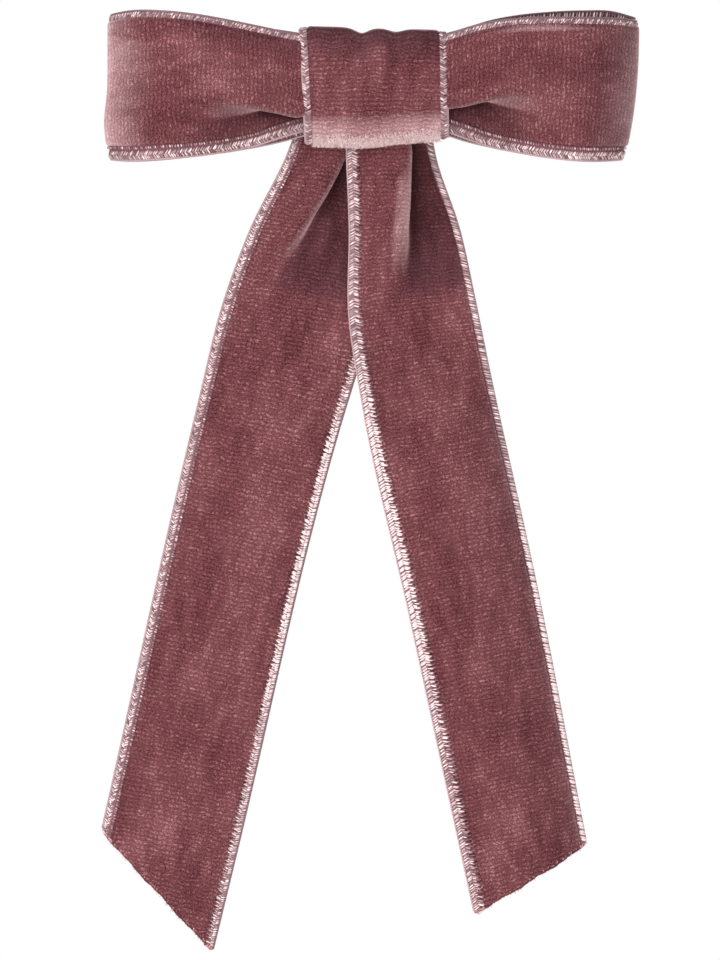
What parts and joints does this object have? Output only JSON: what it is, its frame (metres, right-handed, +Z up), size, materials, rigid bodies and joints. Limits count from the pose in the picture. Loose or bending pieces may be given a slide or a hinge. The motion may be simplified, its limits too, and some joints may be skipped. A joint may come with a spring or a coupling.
{
  "type": "barrette",
  "caption": "Velvet ribbon bow with two hanging tails on a sprung steel hair clip with a hinged arm and pinch catch.",
  "frame": {"origin": "middle of the space that holds the hair, between the tension bar and the latch arm", "axes": "+Z up as worn, so the tails hang towards -Z; +X along the clip from its hinge to its catch; the bow's front faces -Y and the head is on the +Y side"},
  "size_m": [0.0924, 0.0236, 0.1627],
  "materials": {
    "velvet": "pile",
    "lining_felt": "matte",
    "thread": "satin",
    "hot_melt": "satin",
    "steel": "brushed",
    "spring_steel": "polished"
  },
  "bodies": {
    "root": {"base_plate": "steel", "hinge_pin": "steel", "catch_saddle": "steel", "catch_rivet": "steel", "glue_lining": "hot_melt", "lining": "lining_felt", "glue_tails": "hot_melt", "tail_fold": "velvet", "glue_knot": "hot_melt", "loop_ribbon": "velvet", "cinch_thread": "thread", "knot_band": "velvet", "stitches_left": "thread", "stitches_right": "thread"},
    "arm": {"latch_arm": "steel"},
    "bar": {"tension_bar": "spring_steel"},
    "catch_upper": {"catch_leg_upper": "spring_steel"},
    "catch_lower": {"catch_leg_lower": "spring_steel"},
    "tails": {"tail_left": "velvet", "tail_right": "velvet"}
  },
  "joints": [
    {"name": "arm_hinge", "type": "hinge", "parent": "root", "child": "arm", "pos_m": [-0.0345, 0.0051, 0], "axis": [0, 0, 1], "range_deg": [0, 65]},
    {"name": "bar_lift", "type": "hinge", "parent": "root", "child": "bar", "pos_m": [-0.0308, -0.00118, 0], "axis": [0, 0, 1], "range_deg": [0, 13]},
    {"name": "catch_upper_pinch", "type": "hinge", "parent": "root", "child": "catch_upper", "pos_m": [0.03454, -0.00064, 0.0027], "axis": [-0.9789, -0.2043, 0], "range_deg": [0, 6], "stiffness_Nm_per_rad": 0.05},
    {"name": "catch_lower_pinch", "type": "hinge", "parent": "root", "child": "catch_lower", "pos_m": [0.03454, -0.00064, -0.0027], "axis": [0.9789, 0.2043, 0], "range_deg": [0, 6]},
    {"name": "tails_swing", "type": "hinge", "parent": "root", "child": "tails", "pos_m": [0, -0.00725, -0.0122], "axis": [-1, 0, 0], "range_deg": [-12, 75]}
  ],
  "couplings": [
    {"joint": "bar_lift", "follows": "arm_hinge", "ratio": 0.2},
    {"joint": "catch_lower_pinch", "follows": "catch_upper_pinch", "ratio": 1}
  ]
}
